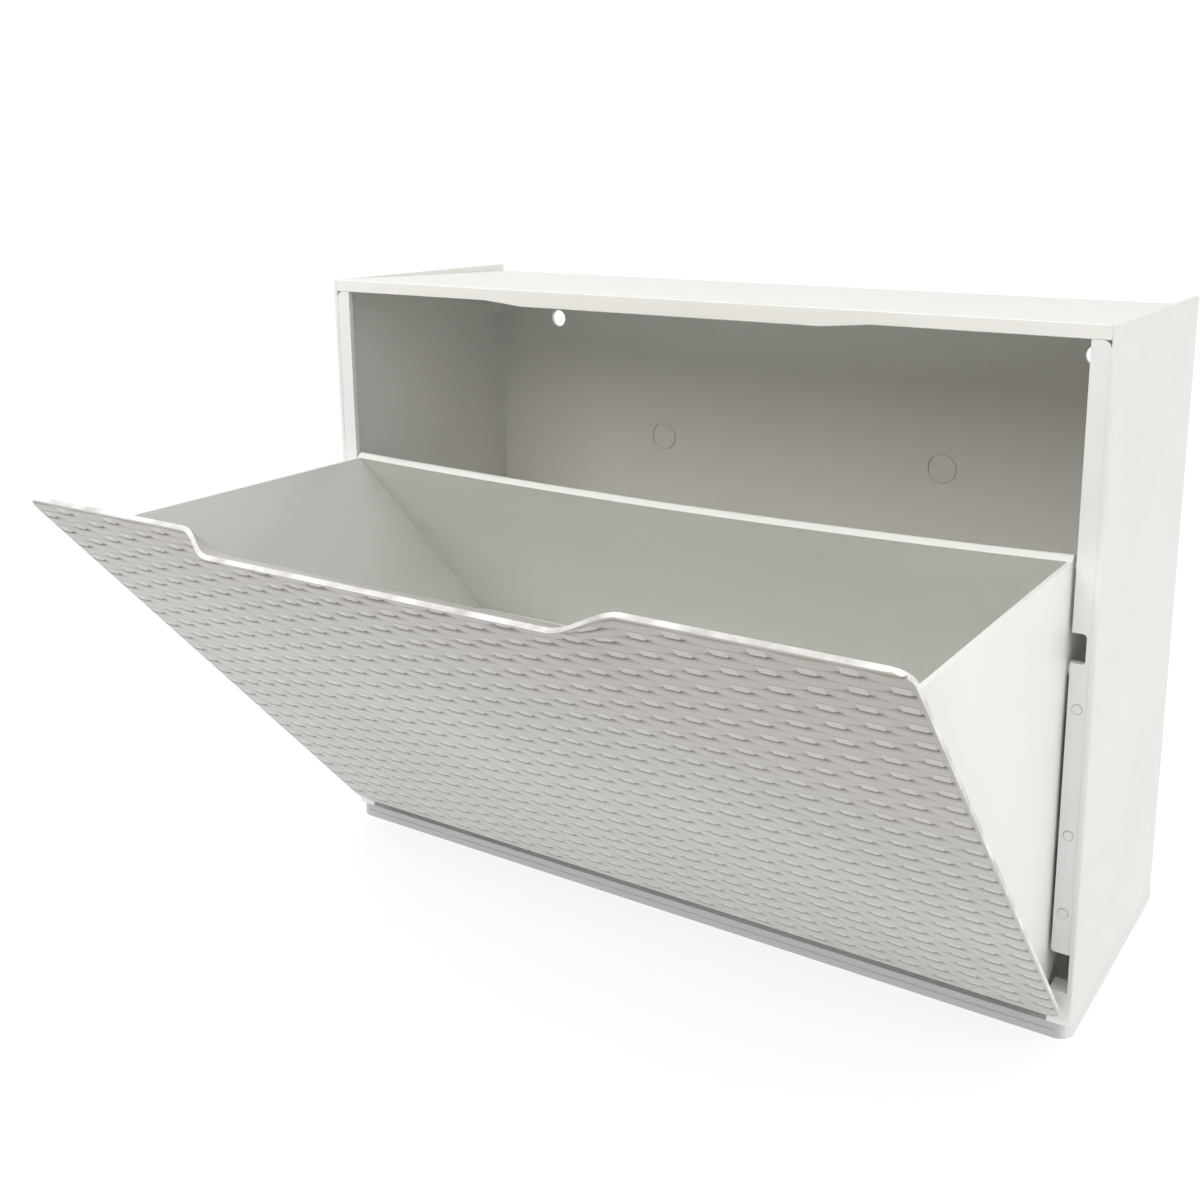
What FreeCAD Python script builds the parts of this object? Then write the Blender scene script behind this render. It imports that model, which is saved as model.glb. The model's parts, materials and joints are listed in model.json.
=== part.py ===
"""Tilt-out shoe cabinet module, flat-packed in moulded plastic, with its flap open on the stops.

Frame: millimetres, +X to the right, +Y to the back, +Z up. The origin is the centre of the base's
underside. Flap pieces are drawn closed, about the pivot axis, and then turned open by open_angle.
"""
import FreeCAD, Part
import Sketcher
import math
import os

SHEET = "dims"

SIZES = {
    # cabinet, overall
    "width": 510.0,
    "depth": 175.0,
    "height": 380.0,
    # walls
    "side_wall": 3.0,
    "back_wall": 2.5,
    "top_wall": 3.0,
    "top_fall": 5.0,            # how far the top's back edge lies below the side panels' ridges
    "edge_round": 1.2,          # rounding of the side panels' outer edges
    # front rail of the top panel
    "fascia_height": 7.5,
    "fascia_wall": 3.0,
    "fascia_drop": 2.5,         # the middle reaches this much lower, behind the finger lip
    # base
    "base_height": 9.0,
    "base_corner": 9.0,
    "base_floor": 2.5,
    "base_rim": 12.0,           # solid border and middle rib around the two hollows underneath
    "groove_level": 4.3,
    "groove_size": 1.0,
    # stiles, the upright strips at both sides of the opening
    "stile_width": 10.0,
    "stile_wall": 3.0,
    "stile_recess": 0.6,
    "stile_foot": 50.0,
    "stile_corner": 5.0,
    "stile_foot_corner": 2.0,
    "window_foot": 210.0,
    "window_height": 16.0,
    "window_width": 7.5,
    "window_corner": 2.0,
    # pegs that pin the stiles and the back panel to the side panels' bosses
    "peg_radius": 2.8,
    "peg_proud": 0.4,
    "peg_clearance": 0.05,
    "peg_length": 12.0,
    "peg_head_radius": 4.5,
    "peg_head": 1.5,
    "stile_peg_low": 73.0,
    "stile_peg_middle": 117.0,
    "stile_peg_high": 186.0,
    "back_peg_margin": 30.0,    # from the cabinet's top and bottom to the back pegs
    "boss_width": 9.5,
    "boss_half": 5.0,
    "boss_depth": 14.0,
    # back panel
    "wall_hole_radius": 6.0,
    "wall_hole_margin": 56.0,   # from the cabinet's side
    "wall_hole_drop": 38.0,     # below the cabinet's top
    "knockout_radius": 10.0,
    "knockout_offset": 106.0,
    "knockout_drop": 118.0,
    # hinge
    "hinge_block_top": 28.0,
    "hinge_block_depth": 13.0,
    "pivot_inset": 6.0,         # behind the cabinet's front plane
    "ear_gap": 5.0,             # between the flap's ears and the base
    "pin_radius": 3.0,
    "pin_clearance": 0.05,
    "pin_head_gap": 0.3,
    "pin_head": 1.5,
    "pin_end_gap": 1.0,
    "ear_radius": 5.0,
    "open_angle": 41.0,
    # flap
    "flap_side_gap": 4.0,       # from the flap's edge to the cabinet's side
    "flap_top_gap": 6.0,        # from the closed flap's top edge to the cabinet's top
    "flap_foot_rise": 4.0,      # the flap's lower edge above the pivot axis
    "flap_wall": 3.2,
    "flap_standoff": 1.8,       # between the closed flap and the cabinet's front plane
    "flap_corner": 8.0,
    "lip_reach": 13.0,
    "lip_height": 30.0,
    "lip_half_width": 128.0,
    "lip_ramp": 28.0,
    # shoe tub behind the flap
    "tub_wall": 2.5,
    "tub_back_gap": 6.0,        # from the closed tub's rim to the back panel
    "tub_height": 184.0,
    "tub_side_gap": 2.0,
    "cheek_drop": 28.0,         # from the flap's top edge to where a cheek's sloping edge meets it
    "rim_size": 6.0,
    "rim_round": 2.8,
    "rim_sag": 7.0,
    # stop lugs on the cheeks
    "lug_radius": 4.0,
    "lug_length": 7.0,
    "lug_gap": 0.3,
    "lug_inset": 35.0,          # in front of the tub's back wall
}

LIP_STEPS = 5       # straight facets that make the lip's curve
BACK_PEG_ROWS = 2


class Size:
    """A length's value together with the sheet formula that gives it."""

    def __init__(self, value, formula):
        self.value = value
        self.formula = formula

    def joined(self, other, sign, value):
        other_formula = other.formula if isinstance(other, Size) else repr(float(other))
        return Size(value, f"({self.formula} {sign} {other_formula})")

    def __add__(self, other):
        return self.joined(other, "+", self.value + number(other))

    def __sub__(self, other):
        return self.joined(other, "-", self.value - number(other))

    def __mul__(self, other):
        return self.joined(other, "*", self.value * number(other))

    def __truediv__(self, other):
        return self.joined(other, "/", self.value / number(other))

    def __neg__(self):
        return Size(-self.value, f"(-1 * {self.formula})")


def number(size):
    return size.value if isinstance(size, Size) else float(size)


def sine(angle):
    return Size(math.sin(math.radians(angle.value)), f"sin({angle.formula} * 1 deg)")


ZERO = Size(0.0, "0")
LEFT, RIGHT = -1, 1
SIDES = {"left": LEFT, "right": RIGHT}


def make_sheet(doc):
    """Write every driving size to the sheet and return them as Size values."""
    sheet = doc.addObject("Spreadsheet::Sheet", SHEET)
    for row, (alias, value) in enumerate(SIZES.items(), start=1):
        sheet.set(f"A{row}", alias)
        sheet.set(f"B{row}", repr(value))
        sheet.setAlias(f"B{row}", alias)
    doc.recompute()
    return {alias: Size(value, f"{SHEET}.{alias}") for alias, value in SIZES.items()}


# ---------------------------------------------------------------- drawing helpers

def new_body(doc, label):
    body = doc.addObject("PartDesign::Body", label)
    body.Label = label
    return body


def new_sketch(body, role, offset):
    """A sketch on one of the body's origin planes, moved along the plane's normal by offset."""
    plane = next(item for item in body.Origin.OriginFeatures if item.Role == role)
    sketch = body.newObject("Sketcher::SketchObject", "Sketch")
    sketch.AttachmentSupport = [(plane, "")]
    sketch.MapMode = "FlatFace"
    sketch.AttachmentOffset = FreeCAD.Placement(FreeCAD.Vector(0, 0, offset.value), FreeCAD.Rotation())
    sketch.setExpression("AttachmentOffset.Base.z", offset.formula)
    return sketch


def pin_down(sketch, kind, size, *where):
    """Add one dimension to a sketch and bind it to the sheet."""
    index = sketch.addConstraint(Sketcher.Constraint(kind, *where, size.value))
    sketch.setExpression(f"Constraints[{index}]", size.formula)


def draw_outline(sketch, points, bulges=None):
    """Draw a closed outline whose corners are dimensioned from the sketch's origin.

    bulges gives, by the number of the corner an edge starts from, the arc's middle height above
    its chord, for level edges that are arcs.
    """
    bulges = bulges or {}
    count = len(points)
    spots = [FreeCAD.Vector(across.value, up.value, 0) for across, up in points]
    for i, start in enumerate(spots):
        end = spots[(i + 1) % count]
        if i in bulges:
            middle = (start + end) / 2 + FreeCAD.Vector(0, bulges[i].value, 0)
            clockwise = (middle - start).cross(end - middle).z < 0
            first, last = (end, start) if clockwise else (start, end)
            sketch.addGeometry(Part.Arc(first, middle, last))
        else:
            sketch.addGeometry(Part.LineSegment(start, end))
    for i in range(count):
        following = (i + 1) % count
        sketch.addConstraint(Sketcher.Constraint("Coincident", i, end_of(sketch, i, spots[following]),
                                                 following, end_of(sketch, following, spots[following])))
    for i, (across, up) in enumerate(points):
        corner = end_of(sketch, i, spots[i])
        pin_down(sketch, "DistanceX", across, -1, 1, i, corner)
        pin_down(sketch, "DistanceY", up, -1, 1, i, corner)
    for i, bulge in bulges.items():
        half_chord = (points[(i + 1) % count][0] - points[i][0]) / 2
        size = bulge if bulge.value > 0 else -bulge
        pin_down(sketch, "Radius", (half_chord * half_chord + size * size) / (size * 2), i)


def end_of(sketch, index, spot):
    """1 if the geometry's first point lies at spot, else 2: sketch arcs all run anticlockwise."""
    return 1 if sketch.Geometry[index].StartPoint.distanceToPoint(spot) < 1e-6 else 2


def draw_circle(sketch, across, up, radius):
    centre = FreeCAD.Vector(across.value, up.value, 0)
    index = sketch.addGeometry(Part.Circle(centre, FreeCAD.Vector(0, 0, 1), radius.value))
    pin_down(sketch, "DistanceX", across, -1, 1, index, 3)
    pin_down(sketch, "DistanceY", up, -1, 1, index, 3)
    pin_down(sketch, "Radius", radius, index)


def extrude(body, kind, sketch, length, reverse=False):
    feature = body.newObject(f"PartDesign::{kind}", kind)
    feature.Profile = sketch
    feature.setExpression("Length", length.formula)
    feature.Reversed = reverse
    return feature


def pad_outline(body, role, points, offset, length, bulges=None, reverse=False):
    sketch = new_sketch(body, role, offset)
    draw_outline(sketch, points, bulges)
    extrude(body, "Pad", sketch, length, reverse)


def pad_circle(body, role, spot, radius, offset, length, reverse=False):
    sketch = new_sketch(body, role, offset)
    draw_circle(sketch, *spot, radius)
    extrude(body, "Pad", sketch, length, reverse)


def pocket(body, role, draw, offset, length, reverse=False):
    """Cut the shapes that draw(sketch) makes, and check that something was cut."""
    body.Document.recompute()
    before = body.Shape.Volume
    sketch = new_sketch(body, role, offset)
    draw(sketch)
    extrude(body, "Pocket", sketch, length, reverse)
    body.Document.recompute()
    if not body.Shape.Volume < before:
        raise RuntimeError(f"{body.Label}: a pocket cut nothing")


def round_edges(body, radius, wanted):
    """Fillet the edges of the body whose middle point and direction satisfy wanted."""
    body.Document.recompute()
    names = []
    for index, edge in enumerate(body.Shape.Edges, start=1):
        middle = edge.valueAt((edge.FirstParameter + edge.LastParameter) / 2)
        direction = edge.tangentAt(edge.FirstParameter)
        if wanted(middle, direction):
            names.append(f"Edge{index}")
    if not names:
        raise RuntimeError(f"{body.Label}: no edge to round")
    base = body.Tip
    fillet = body.newObject("PartDesign::Fillet", "Fillet")
    fillet.Base = (base, names)
    fillet.setExpression("Radius", radius.formula)


def near(value, size):
    return abs(value - size.value) < 1e-4


def rectangle(low_across, high_across, low_up, high_up):
    return [(low_across, low_up), (high_across, low_up), (high_across, high_up), (low_across, high_up)]


def cylinder(doc, name, radius, length, spot, axis):
    """A Part cylinder whose base centre is at spot, pointing along axis."""
    solid = doc.addObject("Part::Cylinder", name)
    solid.setExpression("Radius", radius.formula)
    solid.setExpression("Height", length.formula)
    turn = FreeCAD.Rotation(FreeCAD.Vector(0, 0, 1), axis)
    solid.Placement = FreeCAD.Placement(FreeCAD.Vector(), turn)
    for letter, coordinate in zip("xyz", spot):
        solid.setExpression(f"Placement.Base.{letter}", coordinate.formula)
    return solid


def fused(doc, label, solids):
    group = doc.addObject("Part::MultiFuse", label)
    group.Label = label
    group.Shapes = solids
    return group


# ---------------------------------------------------------------- places shared by the pieces

def shared_places(sizes):
    """Planes and levels that several pieces take their place from."""
    place = dict(sizes)
    half = sizes["width"] / 2
    place["half"] = half
    place["front"] = -(sizes["depth"] / 2)
    place["back"] = sizes["depth"] / 2
    place["side_inner"] = half - sizes["side_wall"]
    place["stile_inner"] = place["side_inner"] - sizes["stile_width"]
    place["stile_middle"] = place["side_inner"] - sizes["stile_width"] / 2
    place["stile_face"] = place["front"] + sizes["stile_recess"]
    place["stile_back"] = place["stile_face"] + sizes["stile_wall"]
    place["stile_top"] = sizes["height"] - sizes["fascia_height"]
    place["lip_half_flat"] = sizes["lip_half_width"] - sizes["lip_ramp"]
    place["back_inner"] = place["back"] - sizes["back_wall"]
    place["back_top"] = sizes["height"] - sizes["top_fall"] - sizes["top_wall"]
    place["cheek_outer"] = place["stile_inner"] - sizes["tub_side_gap"]
    place["cheek_inner"] = place["cheek_outer"] - sizes["tub_wall"]
    place["pivot_y"] = place["front"] + sizes["pivot_inset"]
    place["pivot_level"] = sizes["base_height"] + sizes["ear_gap"] + sizes["ear_radius"]
    place["pin_head_radius"] = sizes["flap_foot_rise"] - sizes["pin_head_gap"]
    place["wall_hole_offset"] = half - sizes["wall_hole_margin"]
    # the flap's own planes, drawn closed and measured from the pivot axis
    place["flap_inner"] = -(sizes["pivot_inset"] + sizes["flap_standoff"])
    place["flap_face"] = place["flap_inner"] - sizes["flap_wall"]
    place["foot"] = sizes["flap_foot_rise"]
    place["flap_top"] = sizes["height"] - sizes["flap_top_gap"] - place["pivot_level"]
    place["flap_half"] = half - sizes["flap_side_gap"]
    place["rim_back"] = place["back_inner"] - place["pivot_y"] - sizes["tub_back_gap"]
    place["tub_back_inner"] = place["rim_back"] - sizes["rim_size"]
    place["tub_back"] = place["tub_back_inner"] + sizes["tub_wall"]
    place["tub_top"] = place["foot"] + sizes["tub_height"]
    # the lug stops behind the stile when the flap is open
    lug_radius_of_turn = (place["tub_back"] - sizes["lug_inset"]) / sine(sizes["open_angle"])
    place["lug_level"] = place["pivot_level"] + lug_radius_of_turn
    place["lug_y"] = place["stile_back"] + sizes["lug_gap"] + sizes["lug_radius"]
    return place


def mirrored(side, near_size, far_size):
    """The lower and higher x of a span that lies from near_size to far_size on one side."""
    if side == RIGHT:
        return near_size, far_size
    return -far_size, -near_size


def back_peg_levels(place):
    """Evenly spaced levels for the back panel's pegs."""
    low = place["back_peg_margin"]
    high = place["height"] - place["back_peg_margin"]
    step = (high - low) / (BACK_PEG_ROWS - 1)
    return [low + step * row for row in range(BACK_PEG_ROWS)]


def stile_peg_levels(place):
    return [place["stile_peg_low"], place["stile_peg_middle"], place["stile_peg_high"]]


# ---------------------------------------------------------------- cabinet pieces

def make_side_panel(doc, place, name, side):
    """A thin wall with bosses inside it for the stile's pegs and the back panel's pegs."""
    body = new_body(doc, f"{name}_side_panel")
    low, high = mirrored(side, place["side_inner"], place["half"])
    wall = rectangle(place["front"], place["back"], place["base_height"], place["height"])
    pad_outline(body, "YZ_Plane", wall, low, high - low)
    outer = place["half"].value * side
    round_edges(body, place["edge_round"], lambda middle, direction: abs(middle.x - outer) < 1e-4
                and middle.z > place["base_height"].value + 1)
    boss_low, boss_high = mirrored(side, place["side_inner"] - place["boss_width"], place["side_inner"])
    peg_x = place["stile_middle"] * side
    hole_radius = place["peg_radius"] + place["peg_clearance"]
    rows = [(level, place["stile_back"], False) for level in stile_peg_levels(place)]
    rows += [(level, place["back_inner"], True) for level in back_peg_levels(place)]
    for level, start, towards_front in rows:
        end = start - place["boss_depth"] if towards_front else start + place["boss_depth"]
        first, last = (end, start) if towards_front else (start, end)
        outline = rectangle(first, last, level - place["boss_half"], level + place["boss_half"])
        pad_outline(body, "YZ_Plane", outline, boss_low, boss_high - boss_low)
        pocket(body, "XZ_Plane", lambda sketch: draw_circle(sketch, peg_x, level, hole_radius),
               -start, place["peg_length"], reverse=towards_front)


def make_top_panel(doc, place):
    """The sloping top with its front rail, whose middle hangs a little lower."""
    body = new_body(doc, "top_panel")
    top = place["height"]
    back_top = top - place["top_fall"]
    rail_back = place["front"] + place["fascia_wall"]
    rail_foot = place["stile_top"]
    profile = [
        (place["front"], rail_foot), (rail_back, rail_foot), (rail_back, top - place["top_wall"]),
        (place["back"], back_top - place["top_wall"]), (place["back"], back_top), (place["front"], top),
    ]
    pad_outline(body, "YZ_Plane", profile, -place["side_inner"], place["side_inner"] * 2)
    drop_foot = rail_foot - place["fascia_drop"]
    flat, wide = place["lip_half_flat"], place["lip_half_width"]
    drop = [(-wide, rail_foot), (-flat, drop_foot), (flat, drop_foot), (wide, rail_foot)]
    pad_outline(body, "XZ_Plane", drop, -rail_back, place["fascia_wall"])


def make_back_panel(doc, place):
    """A flat panel with two wall-fixing holes and two ring-shaped knock-out marks."""
    body = new_body(doc, "back_panel")
    inner = place["side_inner"]
    outline = rectangle(-inner, inner, place["base_height"], place["back_top"])
    pad_outline(body, "XZ_Plane", outline, -place["back"], place["back_wall"])
    hole_level = place["height"] - place["wall_hole_drop"]
    peg_hole = place["peg_radius"] + place["peg_clearance"]

    def draw_holes(sketch):
        for side in SIDES.values():
            draw_circle(sketch, place["wall_hole_offset"] * side, hole_level, place["wall_hole_radius"])
            for level in back_peg_levels(place):
                draw_circle(sketch, place["stile_middle"] * side, level, peg_hole)

    def draw_marks(sketch):
        level = place["height"] - place["knockout_drop"]
        for side in SIDES.values():
            across = place["knockout_offset"] * side
            draw_circle(sketch, across, level, place["knockout_radius"])
            draw_circle(sketch, across, level, place["knockout_radius"] - place["groove_size"])

    pocket(body, "XZ_Plane", draw_holes, -place["back"], place["back_wall"], reverse=True)
    pocket(body, "XZ_Plane", draw_marks, -place["back_inner"], place["groove_size"])


def make_base_panel(doc, place):
    """The floor tray: rounded front corners, a groove along its front rail, two hollows underneath."""
    body = new_body(doc, "base_panel")
    half = place["half"]
    outline = rectangle(-half, half, place["front"], place["back"])
    pad_outline(body, "XY_Plane", outline, ZERO, place["base_height"])
    round_edges(body, place["base_corner"], lambda middle, direction: near(abs(direction.z), Size(1.0, "1"))
                and near(middle.y, place["front"]))
    low, high = place["groove_level"], place["groove_level"] + place["groove_size"]
    depth = place["base_height"] - place["base_floor"]
    rim = place["base_rim"]
    for side in SIDES.values():
        hollow_low, hollow_high = mirrored(side, rim / 2, half - rim)
        hollow = rectangle(hollow_low, hollow_high, place["front"] + rim, place["back"] - rim)
        pocket(body, "XY_Plane", lambda sketch: draw_outline(sketch, hollow), ZERO, depth, reverse=True)
    reach = half - place["base_corner"]
    pocket(body, "XZ_Plane", lambda sketch: draw_outline(sketch, rectangle(-reach, reach, low, high)),
           -place["front"], place["groove_size"])


def make_stile(doc, place, name, side):
    """The upright strip beside the opening, with a window and three peg holes."""
    body = new_body(doc, f"{name}_stile")
    low, high = mirrored(side, place["stile_inner"], place["side_inner"])
    outline = rectangle(low, high, place["stile_foot"], place["stile_top"])
    pad_outline(body, "XZ_Plane", outline, -place["stile_face"], place["stile_wall"], reverse=True)
    inner_x = (place["stile_inner"] * side).value
    outer_x = (place["side_inner"] * side).value
    round_edges(body, place["stile_corner"], lambda middle, direction: abs(direction.y) > 0.99
                and abs(middle.x - outer_x) < 1e-4 and near(middle.z, place["stile_top"]))
    round_edges(body, place["stile_foot_corner"], lambda middle, direction: abs(direction.y) > 0.99
                and abs(middle.x - inner_x) < 1e-4 and near(middle.z, place["stile_foot"]))
    window_reach = place["stile_inner"] + place["window_width"]
    window_low, window_high = mirrored(side, place["stile_inner"], window_reach)
    foot, top = place["window_foot"], place["window_foot"] + place["window_height"]
    window = rectangle(window_low, window_high, foot, top)
    pocket(body, "XZ_Plane", lambda sketch: draw_outline(sketch, window),
           -place["stile_face"], place["stile_wall"])
    window_x = (window_reach * side).value
    round_edges(body, place["window_corner"], lambda middle, direction: abs(direction.y) > 0.99
                and abs(middle.x - window_x) < 1e-4)
    hole_radius = place["peg_radius"] + place["peg_clearance"]

    def draw_holes(sketch):
        for level in stile_peg_levels(place):
            draw_circle(sketch, place["stile_middle"] * side, level, hole_radius)

    pocket(body, "XZ_Plane", draw_holes, -place["stile_face"], place["stile_wall"])


def make_hinge_block(doc, place, name, side):
    """A block standing on the base in the corner, bored for the flap's pivot pin."""
    body = new_body(doc, f"{name}_hinge_block")
    low, high = mirrored(side, place["stile_inner"], place["side_inner"])
    outline = rectangle(place["front"], place["front"] + place["hinge_block_depth"],
                        place["base_height"], place["hinge_block_top"])
    pad_outline(body, "YZ_Plane", outline, low, high - low)
    bore = place["pin_radius"] + place["pin_clearance"]
    pocket(body, "YZ_Plane",
           lambda sketch: draw_circle(sketch, place["pivot_y"], place["pivot_level"], bore),
           low, high - low, reverse=True)


def make_stile_pegs(doc, place, name, side):
    pegs = []
    for level in stile_peg_levels(place):
        spot = (place["stile_middle"] * side, place["stile_face"] - place["peg_proud"], level)
        length = place["peg_proud"] + place["stile_wall"] + place["peg_length"] - place["peg_clearance"]
        pegs.append(cylinder(doc, "Peg", place["peg_radius"], length, spot, FreeCAD.Vector(0, 1, 0)))
    return fused(doc, f"{name}_stile_pegs", pegs)


def make_back_pegs(doc, place):
    """Headed pegs pushed in from behind, through the back panel and into the bosses."""
    solids = []
    towards_front = FreeCAD.Vector(0, -1, 0)
    for side in SIDES.values():
        for level in back_peg_levels(place):
            across = place["stile_middle"] * side
            length = place["back_wall"] + place["peg_length"] - place["peg_clearance"]
            shank = cylinder(doc, "Shank", place["peg_radius"], length, (across, place["back"], level),
                             towards_front)
            head_y = place["back"] + place["peg_head"]
            head = cylinder(doc, "Head", place["peg_head_radius"], place["peg_head"],
                            (across, head_y, level), towards_front)
            solids += [shank, head]
    return fused(doc, "back_panel_pegs", solids)


# ---------------------------------------------------------------- flap pieces

def open_flap(body, place):
    """Turn a piece drawn closed about the pivot axis into its open place."""
    body.Placement = FreeCAD.Placement(FreeCAD.Vector(), FreeCAD.Rotation(FreeCAD.Vector(1, 0, 0), 1))
    body.setExpression("Placement.Base.y", place["pivot_y"].formula)
    body.setExpression("Placement.Base.z", place["pivot_level"].formula)
    body.setExpression("Placement.Rotation.Angle", place["open_angle"].formula)


def lip_section(place, reach):
    """The lip's strip seen from the side, bending forward by reach at its top."""
    face, back_offset = [], place["flap_wall"]
    for step in range(LIP_STEPS + 1):
        share = step / LIP_STEPS
        up = place["flap_top"] - place["lip_height"] * (1 - share)
        face.append((place["flap_face"] - reach * share ** 2, up))
    back = [(across + back_offset, up) for across, up in reversed(face)]
    return face + back


def make_flap_front(doc, place):
    """The front panel: a plate with rounded corners whose middle top edge curves out as a finger lip."""
    body = new_body(doc, "flap_front")
    half, wide, flat = place["flap_half"], place["lip_half_width"], place["lip_half_flat"]
    foot, top = place["foot"], place["flap_top"]
    lip_foot = top - place["lip_height"]
    outline = [
        (-half, foot), (half, foot), (half, top), (wide, top),
        (wide, lip_foot), (-wide, lip_foot), (-wide, top), (-half, top),
    ]
    pad_outline(body, "XZ_Plane", outline, -place["flap_face"], place["flap_wall"], reverse=True)
    round_edges(body, place["flap_corner"], lambda middle, direction: abs(direction.y) > 0.99
                and near(abs(middle.x), half))
    sketches = []
    full_reach = place["lip_reach"]
    for across, reach in ((-wide, ZERO), (-flat, full_reach), (flat, full_reach), (wide, ZERO)):
        sketch = new_sketch(body, "YZ_Plane", across)
        draw_outline(sketch, lip_section(place, reach))
        sketches.append(sketch)
    body.Document.recompute()
    loft = body.newObject("PartDesign::AdditiveLoft", "Loft")
    loft.Profile = sketches[0]
    loft.Sections = sketches[1:]
    loft.Ruled = True
    open_flap(body, place)


def make_tub_back_wall(doc, place):
    """The tub's upright wall, with a thick rounded rim that sags a little in the middle."""
    body = new_body(doc, "tub_back_wall")
    half, top, sag = place["cheek_outer"], place["tub_top"], -place["rim_sag"]
    wall = rectangle(-half, half, place["foot"], top)
    pad_outline(body, "XZ_Plane", wall, -place["tub_back_inner"], place["tub_wall"],
                bulges={2: sag}, reverse=True)
    rim_foot = top - place["rim_size"]
    rim = rectangle(-half, half, rim_foot, top)
    pad_outline(body, "XZ_Plane", rim, -place["tub_back_inner"], place["rim_size"],
                bulges={0: sag, 2: sag}, reverse=True)
    round_edges(body, place["rim_round"], lambda middle, direction: near(middle.y, place["rim_back"])
                and abs(middle.x) < 1)
    open_flap(body, place)


def make_tub_floor(doc, place):
    body = new_body(doc, "tub_floor")
    outline = rectangle(place["flap_inner"], place["tub_back_inner"], place["foot"],
                        place["foot"] + place["tub_wall"])
    pad_outline(body, "YZ_Plane", outline, -place["cheek_inner"], place["cheek_inner"] * 2)
    open_flap(body, place)


def make_tub_cheek(doc, place, name, side):
    """A side of the tub, with a sloping top edge and an ear that carries the pivot pin."""
    body = new_body(doc, f"tub_{name}_cheek")
    low, high = mirrored(side, place["cheek_inner"], place["cheek_outer"])
    foot, ear = place["foot"], place["ear_radius"]
    outline = [
        (place["flap_inner"], foot), (-ear, foot), (-ear, ZERO), (ear, ZERO), (ear, foot),
        (place["tub_back_inner"], foot), (place["tub_back_inner"], place["tub_top"]),
        (place["flap_inner"], place["flap_top"] - place["cheek_drop"]),
    ]
    pad_outline(body, "YZ_Plane", outline, low, high - low)
    pad_circle(body, "YZ_Plane", (ZERO, ZERO), ear, low, high - low)
    hole_radius = place["pin_radius"] + place["pin_clearance"]
    pocket(body, "YZ_Plane", lambda sketch: draw_circle(sketch, ZERO, ZERO, hole_radius),
           low, high - low, reverse=True)
    open_flap(body, place)


def make_pivot_pin(doc, place, name, side):
    """A headed pin through the cheek's ear and into the hinge block."""
    outward = FreeCAD.Vector(side, 0, 0)
    head_x = (place["cheek_inner"] - place["pin_head"]) * side
    spot = (place["cheek_inner"] * side, place["pivot_y"], place["pivot_level"])
    length = place["side_inner"] - place["pin_end_gap"] - place["cheek_inner"]
    shank = cylinder(doc, "Shank", place["pin_radius"], length, spot, outward)
    head = cylinder(doc, "Head", place["pin_head_radius"], place["pin_head"], (head_x, *spot[1:]), outward)
    return fused(doc, f"{name}_pivot_pin", [shank, head])


def make_stop_lug(doc, place, name, side):
    """A round lug on the cheek that meets the back of the stile when the flap is open."""
    spot = (place["cheek_outer"] * side, place["lug_y"], place["lug_level"])
    lug = cylinder(doc, f"{name}_stop_lug", place["lug_radius"], place["lug_length"], spot,
                   FreeCAD.Vector(side, 0, 0))
    lug.Label = f"{name}_stop_lug"
    return lug


# ---------------------------------------------------------------- the whole part

def build(doc):
    place = shared_places(make_sheet(doc))
    make_top_panel(doc, place)
    make_back_panel(doc, place)
    make_base_panel(doc, place)
    make_back_pegs(doc, place)
    make_flap_front(doc, place)
    make_tub_back_wall(doc, place)
    make_tub_floor(doc, place)
    for name, side in SIDES.items():
        make_side_panel(doc, place, name, side)
        make_stile(doc, place, name, side)
        make_hinge_block(doc, place, name, side)
        make_stile_pegs(doc, place, name, side)
        make_tub_cheek(doc, place, name, side)
        make_pivot_pin(doc, place, name, side)
        make_stop_lug(doc, place, name, side)


def sub_parts(doc):
    """The finished pieces: bodies, and solids that no other object uses."""
    pieces = []
    for item in doc.Objects:
        if item.TypeId == "PartDesign::Body":
            pieces.append(item)
        elif item.TypeId in ("Part::MultiFuse", "Part::Cylinder") and not item.InList:
            pieces.append(item)
    return pieces


def check(doc, pieces):
    for item in doc.Objects:
        if "Invalid" in item.State or "Error" in item.State:
            raise RuntimeError(f"{item.Label} failed: {item.State}")
    for piece in pieces:
        if piece.Shape.isNull() or not piece.Shape.isValid() or not piece.Shape.Solids:
            raise RuntimeError(f"{piece.Label} has no valid solid")


def main():
    doc = FreeCAD.newDocument("shoe_cabinet")
    build(doc)
    doc.recompute()
    pieces = sub_parts(doc)
    check(doc, pieces)
    os.makedirs("parts", exist_ok=True)
    for piece in pieces:
        piece.Shape.exportStep(f"parts/{piece.Label}.step")
    print(len(pieces), "pieces written")


main()
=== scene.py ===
"""Looks of the tilt-out shoe cabinet module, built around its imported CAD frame.

Frame: metres, +X to the right, +Y to the back, +Z up. Sizes below are in millimetres where their
names end in _MM. Flap pieces are worked out closed, about the pivot axis, and then turned open.
"""

import json
import math

import bmesh
import bpy
import numpy as np
from mathutils import Matrix, Vector


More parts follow.
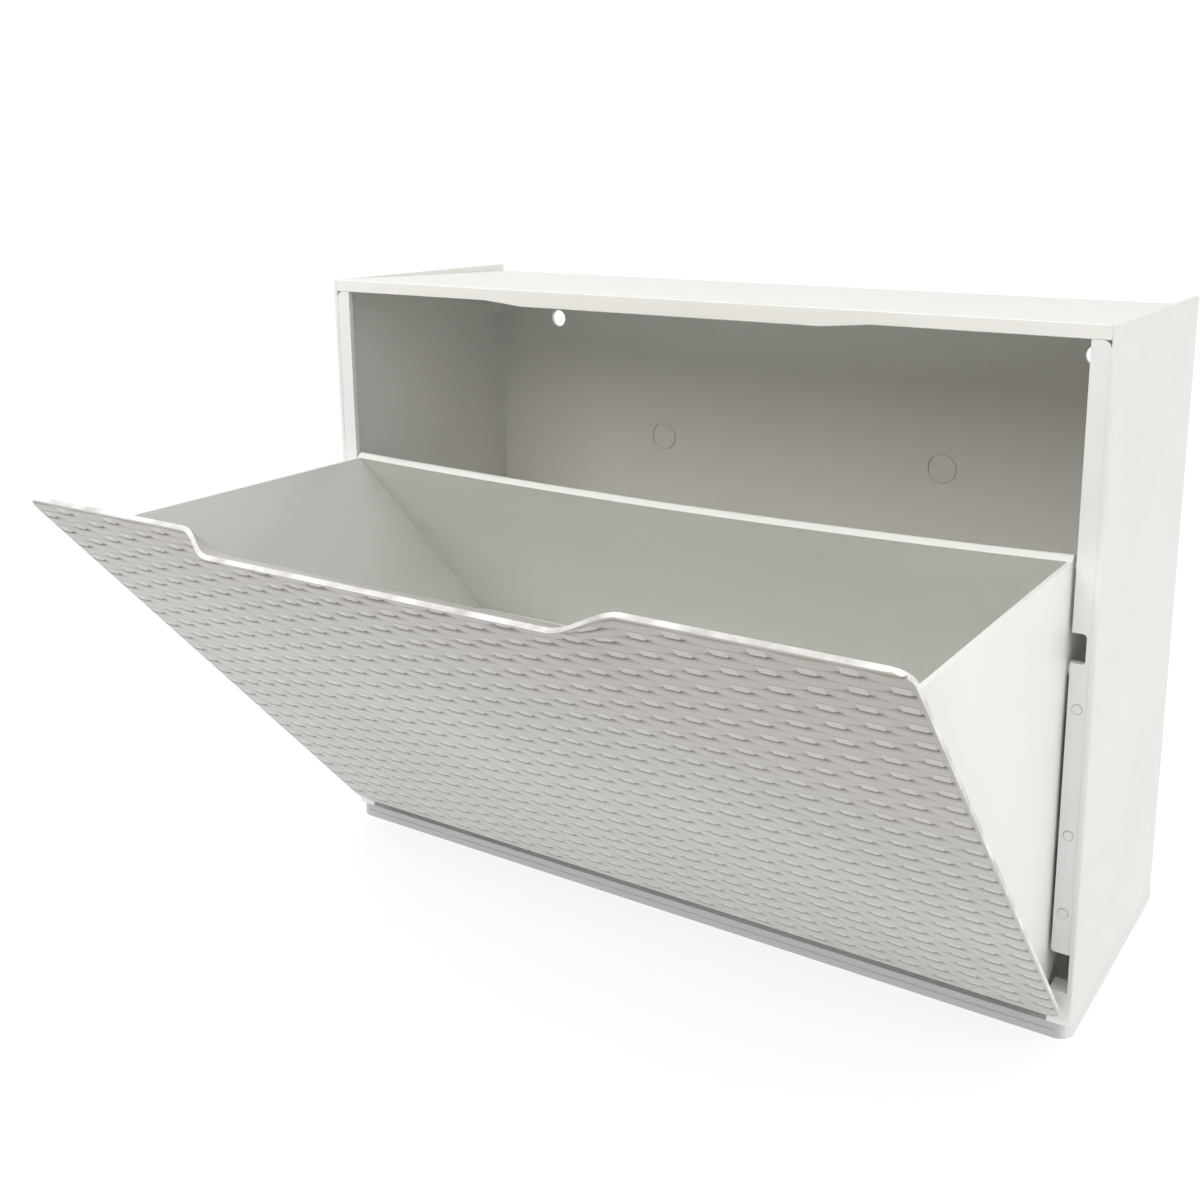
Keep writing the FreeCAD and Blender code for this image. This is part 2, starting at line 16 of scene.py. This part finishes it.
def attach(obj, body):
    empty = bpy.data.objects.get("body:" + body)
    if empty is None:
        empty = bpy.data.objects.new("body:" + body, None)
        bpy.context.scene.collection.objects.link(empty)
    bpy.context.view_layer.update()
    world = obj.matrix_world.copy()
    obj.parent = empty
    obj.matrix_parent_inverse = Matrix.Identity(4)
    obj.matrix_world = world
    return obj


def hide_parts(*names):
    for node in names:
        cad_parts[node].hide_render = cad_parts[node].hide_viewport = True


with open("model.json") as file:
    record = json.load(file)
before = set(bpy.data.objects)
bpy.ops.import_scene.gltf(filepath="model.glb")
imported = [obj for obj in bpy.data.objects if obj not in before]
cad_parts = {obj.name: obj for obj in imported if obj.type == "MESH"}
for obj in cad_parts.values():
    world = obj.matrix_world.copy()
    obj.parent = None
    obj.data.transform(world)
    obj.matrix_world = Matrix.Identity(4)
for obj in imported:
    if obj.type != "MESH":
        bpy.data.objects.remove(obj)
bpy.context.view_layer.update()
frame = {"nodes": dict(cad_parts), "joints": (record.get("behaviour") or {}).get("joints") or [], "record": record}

MM = 0.001

# ---------------------------------------------------------------------------------------------
# basket weave on the flap
STAKE_PITCH_MM = 18.8       # from one upright stake to the next
STAKE_HALF_MM = 4.0
STRAND_COUNT = 52           # horizontal strands from the flap's foot to its top groove
PILLOW_MM = 0.45            # how far a strand swells out over a stake, and in under one
GROOVE_MM = 1.15            # extra depth of the crease between two strands
PIT_MM = 0.55               # extra depth of the pit beside a stake
STAKE_RISE_MM = 0.48        # stake's face above the bottom of the pit it shows in
CROWN = 0.35                # part of the swelling that is gone at a strand's edge

# top edge of the flap
TOP_RIM_MM = 1.6
TOP_GROOVE_MM = 0.7
TOP_GROOVE_DEPTH_MM = 1.5
EDGE_ROUND_MM = 0.5
BORDER_MM = 1.8             # plain border at the flap's foot and sides
BORDER_DEPTH_MM = 0.5

# finger lip
LIP_REACH_MM = 13.0
LIP_HEIGHT_MM = 30.0
LIP_HALF_MM = 128.0
LIP_RAMP_MM = 28.0
FOLD_FROM_MM = (118.0, 20.0)    # outer end of a fold: across, and below the flap's top
FOLD_TO_MM = (57.0, 56.0)
FOLD_STEP_MM = 0.45
FOLD_SPACING_MM = 9.0

FLAP_WALL_MM = 3.2
FLAP_CORNER_MM = 8.0

# ---------------------------------------------------------------------------------------------
# camera, metres and degrees: the viewing angle the object is known from
CAMERA_SPOT = (0.4204, -0.7519, 0.4527)
CAMERA_YAW = 31.85
CAMERA_PITCH = 12.73
CAMERA_LENS = 41.7
CAMERA_SHIFT = (-0.06, -0.1)

# key light, metres, watts and degrees about the cabinet's middle
KEY_SIZE = (1.6, 1.2)
KEY_POWER = 20.0
KEY_DISTANCE = 2.0
KEY_TURN = -12.0
KEY_RISE = 37.0
KEY_COLOUR = (1.0, 0.985, 0.96)

# floor and surroundings
FLOOR_HALF = 6.0
FLOOR_DROP = 0.0004         # keeps the floor just clear of the base's underside
FLOOR_GREY = (0.30, 0.30, 0.30, 1.0)
FLOOR_GLOW = 0.74
WORLD_STRENGTH = 1.06
FRONT_DIRECTION = (-0.25, -0.97, 0.0)
AROUND_COLOUR = (1.0, 1.0, 1.0)
FRONT_COLOUR = (0.12, 0.115, 0.10)
BEHIND_COLOUR = (0.78, 0.78, 0.775)
BACKDROP_COLOUR = (0.97, 0.97, 0.97)


def smooth_step(low, high, value):
    share = np.clip((value - low) / (high - low), 0.0, 1.0)
    return share * share * (3.0 - 2.0 * share)


# ---------------------------------------------------------------------------------------------
# materials

class Nodes:
    """A material's node tree, with short ways to add nodes and link them."""

    def __init__(self, tree):
        self.tree = tree

    def add(self, kind, **values):
        node = self.tree.nodes.new(kind)
        for name, value in values.items():
            setattr(node, name, value)
        return node

    def link(self, source, target):
        self.tree.links.new(source, target)

    def noise(self, where, scale, detail=3.0, roughness=0.55):
        node = self.add("ShaderNodeTexNoise")
        node.inputs["Scale"].default_value = scale
        node.inputs["Detail"].default_value = detail
        node.inputs["Roughness"].default_value = roughness
        self.link(where, node.inputs["Vector"])
        return node.outputs["Fac"]

    def span(self, source, low, high, from_low=0.3, from_high=0.7):
        node = self.add("ShaderNodeMapRange")
        node.inputs["From Min"].default_value = from_low
        node.inputs["From Max"].default_value = from_high
        node.inputs["To Min"].default_value = low
        node.inputs["To Max"].default_value = high
        self.link(source, node.inputs["Value"])
        return node.outputs["Result"]

    def mixed(self, share, first, second):
        node = self.add("ShaderNodeMix", data_type="RGBA")
        self.link(share, node.inputs[0])
        for socket, value in ((node.inputs[6], first), (node.inputs[7], second)):
            if isinstance(value, tuple):
                socket.default_value = (*value, 1.0)
            else:
                self.link(value, socket)
        return node.outputs[2]

    def bump(self, height, strength, distance, under=None):
        node = self.add("ShaderNodeBump")
        node.inputs["Strength"].default_value = strength
        node.inputs["Distance"].default_value = distance
        self.link(height, node.inputs["Height"])
        if under is not None:
            self.link(under, node.inputs["Normal"])
        return node.outputs["Normal"]


def moulded_plastic(name, colour, shade, roughness, grain=0.10, flow=0.012, edge_wear_and_shade=(0.93, 0.93, 0.92),
                    toned=None, woven=False):
    """Satin moulded plastic: fine grain, faint flow marks, and rounded edges made smoother and given the edge
    colour: a light one is rubbed wear, a dark one (tray, fixings) is painted shade.

    A toned one turns to another colour along a direction, as painted shade (on the flap also a warmer tint):
    (direction, from, to, colour), in metres.
    A woven face gets painted shade in its creases and a painted highlight on its stakes' faces.
    """
    material = bpy.data.materials.new(name)
    material.use_nodes = True
    nodes = Nodes(material.node_tree)
    surface = material.node_tree.nodes["Principled BSDF"]
    surface.inputs["IOR"].default_value = 1.49
    surface.inputs["Specular IOR Level"].default_value = 0.42
    where = nodes.add("ShaderNodeTexCoord").outputs["Object"]
    broad = nodes.noise(where, 9.0, detail=2.0)
    clouds = nodes.noise(where, 60.0, detail=4.0)
    fine = nodes.noise(where, 1500.0, detail=2.0)
    pores = nodes.noise(where, 420.0, detail=3.0)
    edge = nodes.add("ShaderNodeAttribute", attribute_name="edge").outputs["Fac"]
    base = nodes.mixed(nodes.span(broad, 0.0, 1.0), colour, shade)
    if toned:
        direction, start, end, other = toned
        along = nodes.add("ShaderNodeVectorMath", operation="DOT_PRODUCT")
        nodes.link(where, along.inputs[0])
        along.inputs[1].default_value = direction
        base = nodes.mixed(nodes.span(along.outputs["Value"], 0.0, 1.0, start, end), base, other)
    if woven:
        # painted highlight on the stakes' faces and painted shade in the creases, read from the mesh's tone
        tone = nodes.add("ShaderNodeAttribute", attribute_name="tone").outputs["Fac"]
        base = nodes.mixed(nodes.span(tone, 0.22, 0.0, -1.0, 0.0), base, STAKE_HIGHLIGHT_COLOUR)
        base = nodes.mixed(nodes.span(tone, 0.0, 0.9, 0.0, 1.0), base, CREASE_SHADE_COLOUR)
    patchy = nodes.add("ShaderNodeMath", operation="MULTIPLY")
    nodes.link(edge, patchy.inputs[0])
    nodes.link(nodes.span(clouds, 0.15, 1.0), patchy.inputs[1])
    edge_wear_and_shade_base = nodes.mixed(patchy.outputs[0], base, edge_wear_and_shade)
    nodes.link(edge_wear_and_shade_base, surface.inputs["Base Color"])
    rough = nodes.add("ShaderNodeMath", operation="SUBTRACT")
    nodes.link(nodes.span(clouds, roughness - 0.05, roughness + 0.06), rough.inputs[0])
    lowered = nodes.add("ShaderNodeMath", operation="MULTIPLY")
    nodes.link(edge, lowered.inputs[0])
    lowered.inputs[1].default_value = 0.08
    nodes.link(lowered.outputs[0], rough.inputs[1])
    nodes.link(rough.outputs[0], surface.inputs["Roughness"])
    first = nodes.bump(broad, 0.5, flow)
    second = nodes.bump(pores, grain * 0.6, 0.0004, first)
    third = nodes.bump(fine, grain, 0.00015, second)
    nodes.link(third, surface.inputs["Normal"])
    return material


# Painted shade with a warmer tint: the flap's face turns darker and warmer toward its top right, where less light
# from the floor reaches it.
FLAP_SHADE_AND_TINT = ((0.20, 0.0, 0.96), 0.132, 0.32, (0.405, 0.375, 0.35))
# Painted shade: the tray's frontmost few millimetres turn grey, for the shade on its low front rail.
FRONT_RAIL_SHADE = ((0.0, -1.0, 0.0), 0.0845, 0.0873, (0.47, 0.47, 0.485))
# painted shade in the weave's creases, and a painted highlight on its stakes' faces
CREASE_SHADE_COLOUR = (0.07, 0.052, 0.043)
STAKE_HIGHLIGHT_COLOUR = (0.80, 0.79, 0.77)

MATERIALS = {
    "cabinet_shell": moulded_plastic("shell_white", (0.825, 0.815, 0.78), (0.80, 0.79, 0.755), 0.40),
    # Painted shade: the tray's rounded edges, along its groove too, are darkened grey, and its front rail is
    # darkened by the gradient.
    "base_tray": moulded_plastic("tray_white", (0.80, 0.795, 0.77), (0.77, 0.765, 0.745), 0.42,
                                 edge_wear_and_shade=(0.62, 0.62, 0.63), toned=FRONT_RAIL_SHADE),
    "cabinet_trim": moulded_plastic("trim_white", (0.81, 0.82, 0.81), (0.785, 0.80, 0.79), 0.36),
    # Painted shade: the fixings' rounded edges are darkened almost to black, to draw the shade in the ring grooves
    # round the pegs.
    "fixings": moulded_plastic("fixing_white", (0.80, 0.805, 0.79), (0.77, 0.78, 0.765), 0.42,
                               edge_wear_and_shade=(0.30, 0.295, 0.28)),
    # Painted shade: the flap is the same white plastic, greyed for the shade on its down-facing woven face; its
    # rim faces are lightened back toward the white by the edge colour.
    "flap_weave": moulded_plastic("weave_shaded_white", (0.535, 0.535, 0.52), (0.51, 0.505, 0.49), 0.44, grain=0.16,
                                  toned=FLAP_SHADE_AND_TINT, woven=True),
    "tub_plastic": moulded_plastic("tub_white", (0.885, 0.895, 0.86), (0.86, 0.87, 0.835), 0.38),
    "pin_plastic": moulded_plastic("pin_white", (0.78, 0.79, 0.77), (0.74, 0.75, 0.73), 0.45),
}

NODE_SLOT = {}
for slot_name, starts in {
    "cabinet_shell": ("left_side", "right_side", "back_panel", "top_panel"),
    "base_tray": ("base_panel",),
    "cabinet_trim": ("left_stile", "right_stile", "left_hinge", "right_hinge"),
    "fixings": ("left_stile_pegs", "right_stile_pegs", "back_panel_pegs"),
    "flap_weave": ("flap_front",),
    "tub_plastic": ("tub_", "left_stop", "right_stop"),
    "pin_plastic": ("left_pivot", "right_pivot"),
}.items():
    for node_name in frame["nodes"]:
        if node_name.startswith(starts):
            NODE_SLOT[node_name] = slot_name

BODY_OF = {
    node_name: body_name
    for body_name, members in frame["record"]["behaviour"]["bodies"].items()
    for node_name in members
}


# ---------------------------------------------------------------------------------------------
# pieces

SHARP_SHADING_ANGLE = 50.0  # degrees; flatter edges are shaded smooth


def new_object(name, mesh):
    piece = bpy.data.objects.new(name, mesh)
    bpy.context.scene.collection.objects.link(piece)
    return piece


def placed(piece, *nodes):
    """Rides the piece on its nodes' body, hides the nodes, and gives it their finish."""
    slot = NODE_SLOT[nodes[0]]
    piece.data.materials.clear()
    piece.data.materials.append(MATERIALS[slot])
    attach(piece, BODY_OF[nodes[0]])
    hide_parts(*nodes)
    return piece


def mark_edges(mesh, marked):
    """Stores 1 on the corners of the marked faces, for the edge colour of the material: wear where it is light,
    painted shade where it is dark.
    """
    layer = mesh.attributes.new("edge", "FLOAT", "CORNER")
    values = np.zeros(len(mesh.loops), np.float32)
    for polygon in mesh.polygons:
        if marked[polygon.index]:
            values[polygon.loop_start:polygon.loop_start + polygon.loop_total] = 1.0
    layer.data.foreach_set("value", values)


def softened(node, width, sharp_angle=40.0):
    """A copy of a CAD node whose sharp edges are rounded, as a mould rounds them."""
    mesh = frame["nodes"][node].data.copy()
    mesh.name = node + "_moulded"
    shape = bmesh.new()
    shape.from_mesh(mesh)
    bmesh.ops.remove_doubles(shape, verts=shape.verts, dist=1e-6)
    bmesh.ops.dissolve_limit(shape, angle_limit=math.radians(0.5), verts=shape.verts, edges=shape.edges)
    sharp = [
        edge for edge in shape.edges
        if edge.is_manifold and edge.calc_face_angle() > math.radians(sharp_angle)
    ]
    result = bmesh.ops.bevel(shape, geom=sharp, offset=width * MM, segments=2, profile=0.5,
                             affect="EDGES", clamp_overlap=True, loop_slide=False)
    shape.faces.index_update()
    rounded = {face.index for face in result["faces"]}
    shape.to_mesh(mesh)
    shape.free()
    for attribute in list(mesh.attributes):
        if attribute.name == "sharp_face":
            mesh.attributes.remove(attribute)
    mark_edges(mesh, [index in rounded for index in range(len(mesh.polygons))])
    mesh.shade_smooth()
    mesh.set_sharp_from_angle(angle=math.radians(SHARP_SHADING_ANGLE))
    piece = new_object(node + "_moulded", mesh)
    weigh = piece.modifiers.new("weighted", "WEIGHTED_NORMAL")
    weigh.keep_sharp = True
    weigh.weight = 90
    depsgraph = bpy.context.evaluated_depsgraph_get()
    baked = bpy.data.meshes.new_from_object(piece.evaluated_get(depsgraph))
    piece.modifiers.clear()
    piece.data = baked
    return placed(piece, node)


# width of the rounding of each CAD piece's edges
SOFT_EDGES_MM = {
    "left_side_panel": 0.5, "right_side_panel": 0.5, "top_panel": 0.6, "base_panel": 0.3,
    "back_panel": 0.15, "left_stile": 0.6, "right_stile": 0.6, "left_hinge_block": 0.5,
    "right_hinge_block": 0.5, "left_stile_pegs": 0.5, "right_stile_pegs": 0.5,
    "back_panel_pegs": 0.3, "tub_back_wall": 0.5, "tub_floor": 0.5, "tub_left_cheek": 0.6,
    "tub_right_cheek": 0.6, "left_stop_lug": 0.6, "right_stop_lug": 0.6, "left_pivot_pin": 0.3,
    "right_pivot_pin": 0.3,
}
for node_name, width_mm in SOFT_EDGES_MM.items():
    softened(node_name, width_mm)


# ---------------------------------------------------------------------------------------------
# the woven flap front

tilt = next(joint for joint in frame["joints"] if joint["name"] == "flap_tilt")
pivot = Vector(tilt["pos_m"])
open_angle = -math.radians(tilt["range_deg"][0])
open_flap = Matrix.Translation(pivot) @ Matrix.Rotation(open_angle, 4, "X")


def closed_points(node):
    """A flap node's corners in millimetres about the pivot, with the flap closed."""
    mesh = frame["nodes"][node].data
    points = np.zeros(len(mesh.vertices) * 3)
    mesh.vertices.foreach_get("co", points)
    points = np.c_[points.reshape(-1, 3), np.ones(len(mesh.vertices))]
    return (points @ np.array(open_flap.inverted()).T)[:, :3] / MM


corners = closed_points("flap_front")
FLAP_HALF = corners[:, 0].max()
FLAP_FOOT = corners[:, 2].min()
FLAP_TOP = corners[:, 2].max()
FLAP_FACE = corners[:, 1].max() - FLAP_WALL_MM
WEAVE_TOP = FLAP_TOP - TOP_RIM_MM - TOP_GROOVE_MM
STRAND_MM = (WEAVE_TOP - FLAP_FOOT) / STRAND_COUNT


def lip_out(x, z):
    """How far the lip curves out of the flap's plane at a point."""
    rise = np.clip((z - FLAP_TOP + LIP_HEIGHT_MM) / LIP_HEIGHT_MM, 0.0, 1.0)
    share = smooth_step(LIP_HALF_MM, LIP_HALF_MM - LIP_RAMP_MM, np.abs(x))
    below = np.interp(np.abs(x), [FOLD_TO_MM[0], FOLD_FROM_MM[0]], [FOLD_TO_MM[1], FOLD_FROM_MM[1]])
    above_fold = z - FLAP_TOP + below
    folds = sum(smooth_step(0.0, 5.0, above_fold - fold * FOLD_SPACING_MM) for fold in range(2))
    return LIP_REACH_MM * rise ** 2 * share + FOLD_STEP_MM * folds * share * (1.0 - rise)


def strand_places():
    """Heights of the mesh rows, each with its strand's number and its place across that strand."""
    across = np.array([-1.0, -0.9, -0.78, -0.65, -0.5, -0.2, 0.1, 0.4, 0.65, 0.82, 0.93])
    heights, strands, places = [], [], []
    for strand in range(STRAND_COUNT):
        middle = FLAP_FOOT + (strand + 0.5) * STRAND_MM
        for place in across:
            heights.append(middle + place * STRAND_MM / 2)
            strands.append(strand)
            places.append(place)
    return np.array(heights), np.array(strands), np.array(places)


def stake_columns():
    """Places of the mesh columns, close together at the stakes' edges."""
    steps = np.array([0.0, 1.8, 3.2, 3.7, 4.2, 4.9, 6.2, 7.8])
    steps = np.r_[steps, STAKE_PITCH_MM - steps[1:][::-1]]
    count = int(FLAP_HALF // STAKE_PITCH_MM) + 1
    columns = np.concatenate([index * STAKE_PITCH_MM + steps for index in range(-count, count)])
    columns = columns[np.abs(columns) < FLAP_HALF - 1.2]
    edge = [FLAP_HALF - 1.0, FLAP_HALF - 0.5, FLAP_HALF - 0.2, FLAP_HALF]
    return np.r_[[-value for value in reversed(edge)], np.unique(columns.round(4)), edge]


def weave_depth(x, strand, place):
    """Depth of the woven face below the flap's outer plane, and its tone.

    The tone is 1 for painted shade in a crease and -1 for a painted highlight on a stake's face.
    """
    swing = np.cos(np.pi * (x / STAKE_PITCH_MM + strand))
    over = np.maximum(swing, 0.0)
    under = np.maximum(-swing, 0.0)
    pillow = PILLOW_MM * over * (1.0 - CROWN * place ** 2)
    pit = -PILLOW_MM * under ** 0.8 - PIT_MM * smooth_step(0.25, 0.6, under)
    off = np.abs((x + STAKE_PITCH_MM / 2) % STAKE_PITCH_MM - STAKE_PITCH_MM / 2)
    stake_face = -PILLOW_MM + STAKE_RISE_MM * smooth_step(STAKE_HALF_MM + 0.4, STAKE_HALF_MM - 0.8, off)
    stake = np.where(swing < -0.2, stake_face, -9.0)
    height = np.where(swing >= 0.0, pillow, np.maximum(pit, stake))
    crease = smooth_step(0.80, 1.0, np.abs(place))
    floor = -PILLOW_MM * np.abs(swing) ** 0.8 - GROOVE_MM * np.abs(swing) ** 0.7
    height = height + (floor - height) * crease
    # painted shade along the lower edge of each pit, and a painted highlight on the stake's face above it
    dark = smooth_step(0.45, 0.7, -place) * smooth_step(0.4, 0.8, -swing)
    on_stake = smooth_step(STAKE_HALF_MM + 0.3, STAKE_HALF_MM - 0.5, off) * (swing < -0.2)
    light = (1.0 - dark) * (1.0 - crease) * on_stake
    return PILLOW_MM - height, dark - light


def grid_quads(indices):
    return np.stack(
        [indices[:-1, :-1], indices[:-1, 1:], indices[1:, 1:], indices[1:, :-1]], -1
    ).reshape(-1, 4)


def flap_front():
    heights, strands, places = strand_places()
    columns = stake_columns()
    x, z = np.meshgrid(columns, heights)
    depth, tone = weave_depth(x, strands[:, None], places[:, None])
    plain = np.maximum(smooth_step(BORDER_MM, BORDER_MM * 0.6, FLAP_HALF - np.abs(x)),
                       smooth_step(BORDER_MM, BORDER_MM * 0.6, z - FLAP_FOOT))
    depth = depth + (BORDER_DEPTH_MM - depth) * plain
    tone = tone * (1.0 - plain)
    rim_heights = np.array([WEAVE_TOP, WEAVE_TOP + TOP_GROOVE_MM * 0.5, WEAVE_TOP + TOP_GROOVE_MM,
                            FLAP_TOP - TOP_RIM_MM * 0.7, FLAP_TOP - EDGE_ROUND_MM, FLAP_TOP])
    rim_depths = np.array([TOP_GROOVE_DEPTH_MM, TOP_GROOVE_DEPTH_MM, 0.6, 0.25, 0.2, 0.6])
    rim_x, rim_z = np.meshgrid(columns, rim_heights)
    x = np.r_[x, rim_x]
    z = np.r_[z, rim_z]
    depth = np.r_[depth, np.repeat(rim_depths[:, None], len(columns), 1)]
    tone = np.r_[tone, np.zeros(rim_x.shape)]
    side = FLAP_HALF - np.abs(x)
    depth = depth + 0.35 * smooth_step(0.6, 0.0, side)
    to_end = np.minimum(z - FLAP_FOOT, FLAP_TOP - z)
    inset = FLAP_CORNER_MM - np.sqrt(np.maximum(
        FLAP_CORNER_MM ** 2 - np.maximum(FLAP_CORNER_MM - to_end, 0.0) ** 2, 0.0))
    pulled = np.clip((np.abs(x) - FLAP_HALF + 14.0) / 14.0, 0.0, 1.0)
    x = x - np.sign(x) * inset * pulled
    outer = np.stack([x, FLAP_FACE - lip_out(x, z) + depth, z], -1)
    inner = np.stack([x, FLAP_FACE + FLAP_WALL_MM - lip_out(x, z), z], -1)
    rows, across = x.shape
    near_lip = z[:, 0] > FLAP_TOP - LIP_HEIGHT_MM - 8.0
    keep_row = near_lip | (np.arange(rows) % 10 == 0) | (to_end[:, 0] < FLAP_CORNER_MM)
    keep_row[[0, -1]] = True
    ramp = np.abs(np.abs(columns) - LIP_HALF_MM + LIP_RAMP_MM / 2) < LIP_RAMP_MM
    keep_column = ramp | (np.arange(across) % 15 == 0) | (np.abs(columns) > FLAP_HALF - 16.0)
    kept_rows = np.flatnonzero(keep_row)
    kept_columns = np.flatnonzero(keep_column)
    inner = inner[np.ix_(kept_rows, kept_columns)]
    vertices = np.r_[outer.reshape(-1, 3), inner.reshape(-1, 3)] * MM
    front = np.arange(rows * across).reshape(rows, across)
    back = rows * across + np.arange(len(kept_rows) * len(kept_columns))
    back = back.reshape(len(kept_rows), len(kept_columns))
    faces = grid_quads(front).tolist()
    smooth_faces = len(faces)
    back_faces = grid_quads(back)[:, ::-1].tolist()
    faces += back_faces
    smooth_faces += len(back_faces)
    for first, second, low, high in zip(range(len(kept_rows)), range(1, len(kept_rows)),
                                        kept_rows, kept_rows[1:]):
        left = [int(front[row, 0]) for row in range(low, high + 1)]
        faces.append(left + [int(back[second, 0]), int(back[first, 0])])
        right = [int(front[row, -1]) for row in range(high, low - 1, -1)]
        faces.append(right + [int(back[first, -1]), int(back[second, -1])])
    for first, second, low, high in zip(range(len(kept_columns)), range(1, len(kept_columns)),
                                        kept_columns, kept_columns[1:]):
        foot = [int(front[0, column]) for column in range(high, low - 1, -1)]
        faces.append(foot + [int(back[0, first]), int(back[0, second])])
        top = [int(front[-1, column]) for column in range(low, high + 1)]
        faces.append(top + [int(back[-1, second]), int(back[-1, first])])
    mesh = bpy.data.meshes.new("flap_front_woven")
    mesh.from_pydata(vertices.tolist(), [], faces)
    mesh.transform(open_flap)
    flat = np.zeros(len(faces), bool)
    flat[smooth_faces:] = True
    mesh.polygons.foreach_set("use_smooth", ~flat)
    mark_edges(mesh, flat)
    # tone: painted shade in creases, painted highlight on stakes
    layer = mesh.attributes.new("tone", "FLOAT", "POINT")
    layer.data.foreach_set("value", np.r_[tone.ravel(), np.zeros(inner.size // 3)].astype(np.float32))
    mesh.validate()
    mesh.update()
    return placed(new_object("flap_front_woven", mesh), "flap_front")


flap_front()


# ---------------------------------------------------------------------------------------------
# floor, light and camera

def studio_floor():
    shape = bmesh.new()
    bmesh.ops.create_grid(shape, x_segments=24, y_segments=24, size=FLOOR_HALF)
    for vertex in shape.verts:
        vertex.co.z = -FLOOR_DROP
    mesh = bpy.data.meshes.new("studio_floor")
    shape.to_mesh(mesh)
    shape.free()
    floor = new_object("studio_floor", mesh)
    material = bpy.data.materials.new("pale_floor")
    material.use_nodes = True
    nodes = Nodes(material.node_tree)
    surface = material.node_tree.nodes["Principled BSDF"]
    surface.inputs["Base Color"].default_value = FLOOR_GREY
    surface.inputs["Specular IOR Level"].default_value = 0.1
    surface.inputs["Emission Color"].default_value = (1.0, 1.0, 1.0, 1.0)
    surface.inputs["Emission Strength"].default_value = FLOOR_GLOW
    where = nodes.add("ShaderNodeTexCoord").outputs["Object"]
    nodes.link(nodes.span(nodes.noise(where, 30.0), 0.75, 0.9), surface.inputs["Roughness"])
    mesh.materials.append(material)


def studio_world():
    """Soft white light from above and the sides, weaker from behind and weakest from in front.

    The camera itself sees an even white backdrop.
    """
    world = bpy.data.worlds.new("studio")
    bpy.context.scene.world = world
    world.use_nodes = True
    nodes = Nodes(world.node_tree)
    background = world.node_tree.nodes["Background"]
    where = nodes.add("ShaderNodeTexCoord").outputs["Generated"]
    toward = nodes.add("ShaderNodeVectorMath", operation="DOT_PRODUCT")
    nodes.link(where, toward.inputs[0])
    toward.inputs[1].default_value = FRONT_DIRECTION
    share = nodes.span(toward.outputs["Value"], 0.0, 1.0, 0.3, 0.9)
    colour = nodes.mixed(share, AROUND_COLOUR, FRONT_COLOUR)
    behind = nodes.span(toward.outputs["Value"], 1.0, 0.0, -1.0, -0.1)
    colour = nodes.mixed(behind, colour, BEHIND_COLOUR)
    seen = nodes.add("ShaderNodeLightPath").outputs["Is Camera Ray"]
    colour = nodes.mixed(seen, colour, BACKDROP_COLOUR)
    nodes.link(colour, background.inputs["Color"])
    background.inputs["Strength"].default_value = WORLD_STRENGTH


def key_light():
    """A large soft box high in front, a little to the left."""
    data = bpy.data.lights.new("key", "AREA")
    data.shape = "RECTANGLE"
    data.size, data.size_y = KEY_SIZE
    data.energy = KEY_POWER
    data.color = KEY_COLOUR
    key = bpy.data.objects.new("key", data)
    aim = Vector((0.0, 0.0, 0.2))
    turn, rise = math.radians(KEY_TURN), math.radians(KEY_RISE)
    away = Vector((math.sin(turn) * math.cos(rise), -math.cos(turn) * math.cos(rise), math.sin(rise)))
    key.location = aim + away * KEY_DISTANCE
    key.rotation_euler = away.to_track_quat("Z", "Y").to_euler()
    bpy.context.scene.collection.objects.link(key)


def photo_camera():
    data = bpy.data.cameras.new("camera")
    data.sensor_width = 36.0
    data.lens = CAMERA_LENS
    data.shift_x, data.shift_y = CAMERA_SHIFT
    data.clip_start = 0.01
    camera = bpy.data.objects.new("camera", data)
    camera.location = CAMERA_SPOT
    camera.rotation_euler = (math.radians(90.0 - CAMERA_PITCH), 0.0, math.radians(CAMERA_YAW))
    bpy.context.scene.collection.objects.link(camera)
    bpy.context.scene.camera = camera


studio_floor()
studio_world()
key_light()
photo_camera()
bpy.context.scene.view_settings.view_transform = "Standard"
